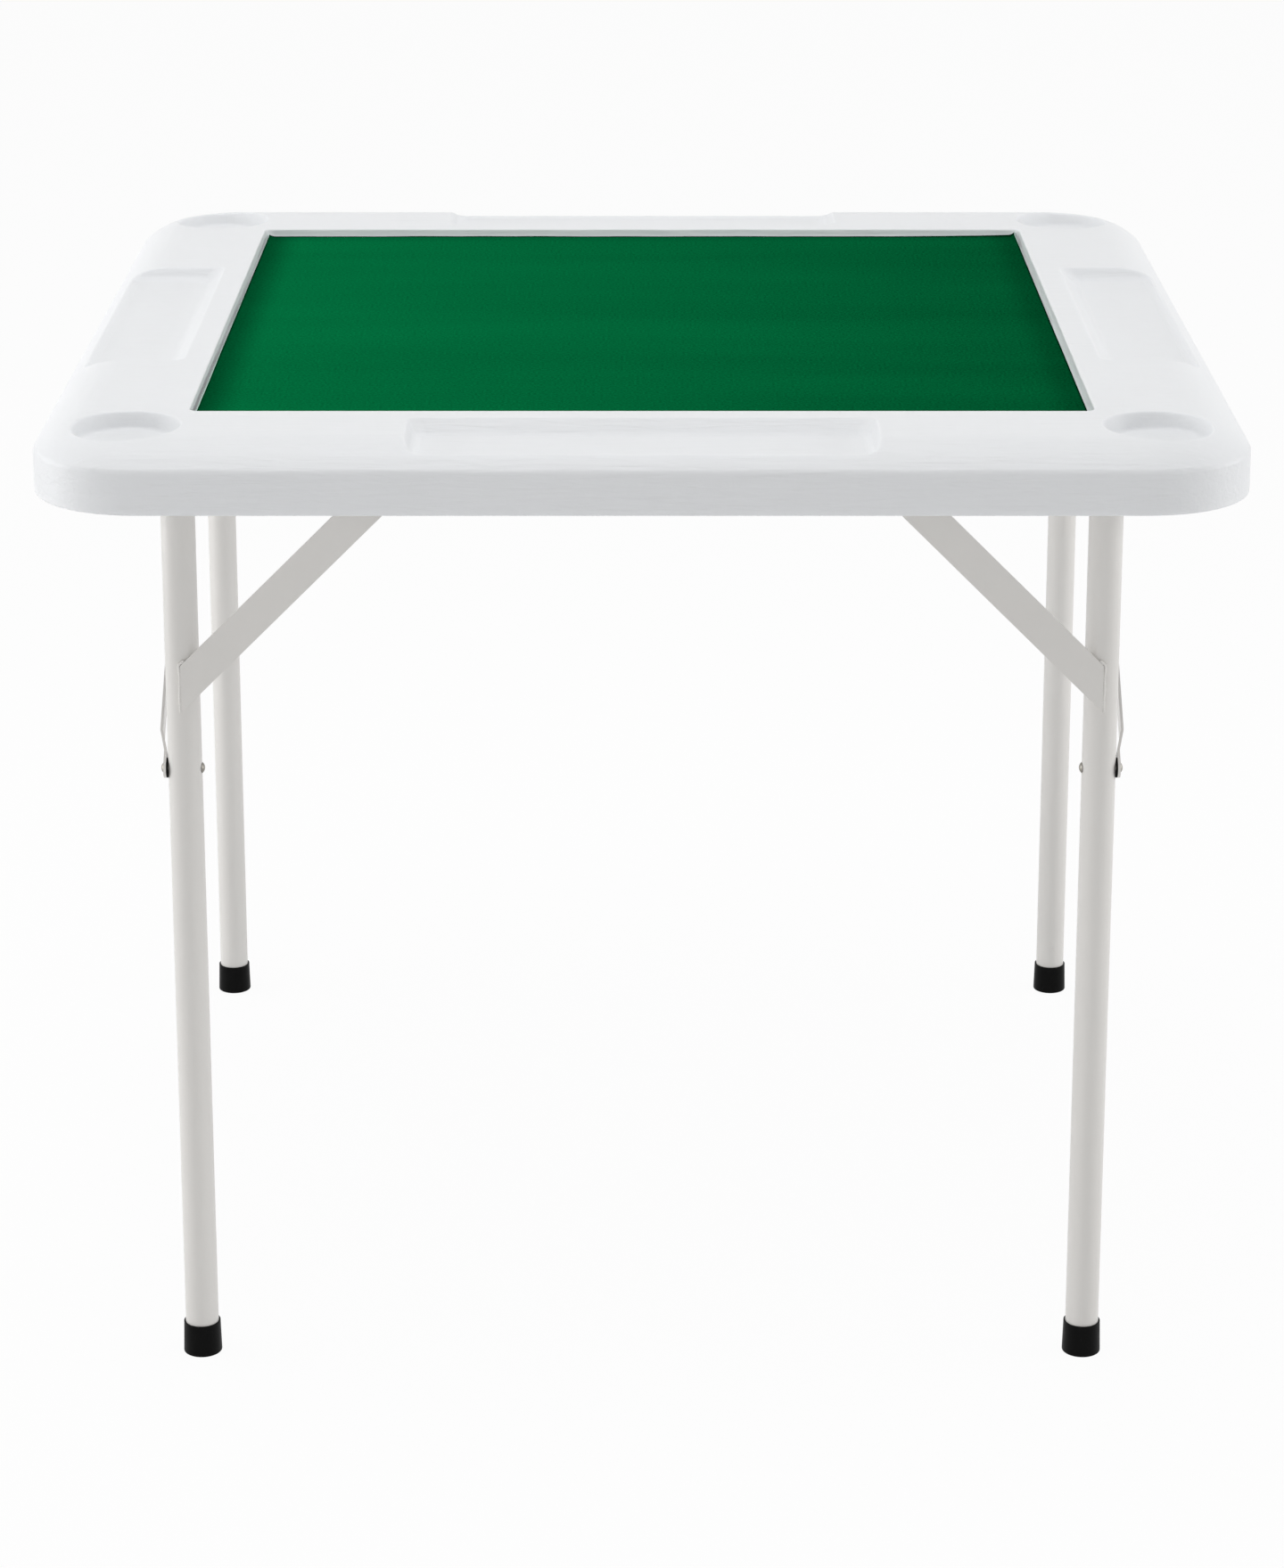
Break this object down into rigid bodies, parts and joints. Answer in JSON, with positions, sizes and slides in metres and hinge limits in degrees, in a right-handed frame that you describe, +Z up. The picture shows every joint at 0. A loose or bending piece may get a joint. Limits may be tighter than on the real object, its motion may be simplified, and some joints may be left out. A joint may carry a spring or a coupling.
{
  "type": "folding card table",
  "caption": "Square folding card table with a green felt playing recess, corner cup holders, edge trays and tubular steel leg frames that fold flat under the top.",
  "frame": {"origin": "on the floor, under the middle of the top, table open", "axes": "+Z up, +X to the right of the front side, -Y the front side, whose leg frame is the narrower one"},
  "size_m": [0.88, 0.88, 0.73],
  "materials": {
    "plastic_top": "off-white blow-moulded polyethylene with a fine grain",
    "felt": "green woollen felt, short nap",
    "frame_paint": "warm grey-white powder coat, semi-gloss",
    "cap_black": "black, smooth",
    "rivet_steel": "blackened and worn steel",
    "washer_black": "black nylon",
    "zinc_bracket": "bright zinc plate",
    "zinc_screw": "bright zinc plate"
  },
  "bodies": {
    "top": {"tabletop": "plastic_top", "felt_mat": "felt", "bracket_screws": "zinc_screw", "link_bracket_rivets": "rivet_steel", "front_left_saddle": "zinc_bracket", "front_left_link_bracket": "zinc_bracket", "front_right_saddle": "zinc_bracket", "front_right_link_bracket": "zinc_bracket", "back_left_saddle": "zinc_bracket", "back_left_link_bracket": "zinc_bracket", "back_right_saddle": "zinc_bracket", "back_right_link_bracket": "zinc_bracket"},
    "front_frame": {"front_crossbar": "frame_paint", "front_leg_rivets": "rivet_steel", "front_leg_washers": "washer_black", "front_left_leg": "frame_paint", "front_left_brace": "frame_paint", "front_left_foot_cap": "cap_black", "front_right_leg": "frame_paint", "front_right_brace": "frame_paint", "front_right_foot_cap": "cap_black"},
    "back_frame": {"back_crossbar": "frame_paint", "back_leg_rivets": "rivet_steel", "back_leg_washers": "washer_black", "back_left_leg": "frame_paint", "back_left_brace": "frame_paint", "back_left_foot_cap": "cap_black", "back_right_leg": "frame_paint", "back_right_brace": "frame_paint", "back_right_foot_cap": "cap_black"},
    "front_left_lower": {"front_left_lower_link": "frame_paint", "front_left_knee_rivet_inner": "rivet_steel"},
    "front_left_upper": {"front_left_upper_link": "frame_paint", "front_left_knee_rivet_outer": "rivet_steel"},
    "front_right_lower": {"front_right_lower_link": "frame_paint", "front_right_knee_rivet_inner": "rivet_steel"},
    "front_right_upper": {"front_right_upper_link": "frame_paint", "front_right_knee_rivet_outer": "rivet_steel"},
    "back_left_lower": {"back_left_lower_link": "frame_paint", "back_left_knee_rivet_inner": "rivet_steel"},
    "back_left_upper": {"back_left_upper_link": "frame_paint", "back_left_knee_rivet_outer": "rivet_steel"},
    "back_right_lower": {"back_right_lower_link": "frame_paint", "back_right_knee_rivet_inner": "rivet_steel"},
    "back_right_upper": {"back_right_upper_link": "frame_paint", "back_right_knee_rivet_outer": "rivet_steel"}
  },
  "joints": [
    {"name": "front_fold", "type": "hinge", "parent": "top", "child": "front_frame", "pos_m": [0, -0.373, 0.69], "axis": [1, 0, 0], "range_deg": [0, 90]},
    {"name": "back_fold", "type": "hinge", "parent": "top", "child": "back_frame", "pos_m": [0, 0.373, 0.69], "axis": [-1, 0, 0], "range_deg": [0, 90]},
    {"name": "front_left_lower_turn", "type": "hinge", "parent": "front_frame", "child": "front_left_lower", "pos_m": [-0.336, -0.373, 0.47], "axis": [1, 0, 0], "range_deg": [0, 48.65]},
    {"name": "front_left_upper_turn", "type": "hinge", "parent": "top", "child": "front_left_upper", "pos_m": [-0.336, -0.123, 0.69], "axis": [-1, 0, 0], "range_deg": [0, 41.35]},
    {"name": "front_right_lower_turn", "type": "hinge", "parent": "front_frame", "child": "front_right_lower", "pos_m": [0.336, -0.373, 0.47], "axis": [1, 0, 0], "range_deg": [0, 48.65]},
    {"name": "front_right_upper_turn", "type": "hinge", "parent": "top", "child": "front_right_upper", "pos_m": [0.336, -0.123, 0.69], "axis": [-1, 0, 0], "range_deg": [0, 41.35]},
    {"name": "back_left_lower_turn", "type": "hinge", "parent": "back_frame", "child": "back_left_lower", "pos_m": [-0.38, 0.373, 0.47], "axis": [-1, 0, 0], "range_deg": [0, 48.65]},
    {"name": "back_left_upper_turn", "type": "hinge", "parent": "top", "child": "back_left_upper", "pos_m": [-0.38, 0.123, 0.69], "axis": [1, 0, 0], "range_deg": [0, 41.35]},
    {"name": "back_right_lower_turn", "type": "hinge", "parent": "back_frame", "child": "back_right_lower", "pos_m": [0.38, 0.373, 0.47], "axis": [-1, 0, 0], "range_deg": [0, 48.65]},
    {"name": "back_right_upper_turn", "type": "hinge", "parent": "top", "child": "back_right_upper", "pos_m": [0.38, 0.123, 0.69], "axis": [1, 0, 0], "range_deg": [0, 41.35]}
  ],
  "couplings": [
    {"joint": "front_left_lower_turn", "follows": "front_fold", "ratio": 0.54058},
    {"joint": "front_left_upper_turn", "follows": "front_fold", "ratio": 0.45942},
    {"joint": "front_right_lower_turn", "follows": "front_fold", "ratio": 0.54058},
    {"joint": "front_right_upper_turn", "follows": "front_fold", "ratio": 0.45942},
    {"joint": "back_left_lower_turn", "follows": "back_fold", "ratio": 0.54058},
    {"joint": "back_left_upper_turn", "follows": "back_fold", "ratio": 0.45942},
    {"joint": "back_right_lower_turn", "follows": "back_fold", "ratio": 0.54058},
    {"joint": "back_right_upper_turn", "follows": "back_fold", "ratio": 0.45942}
  ]
}
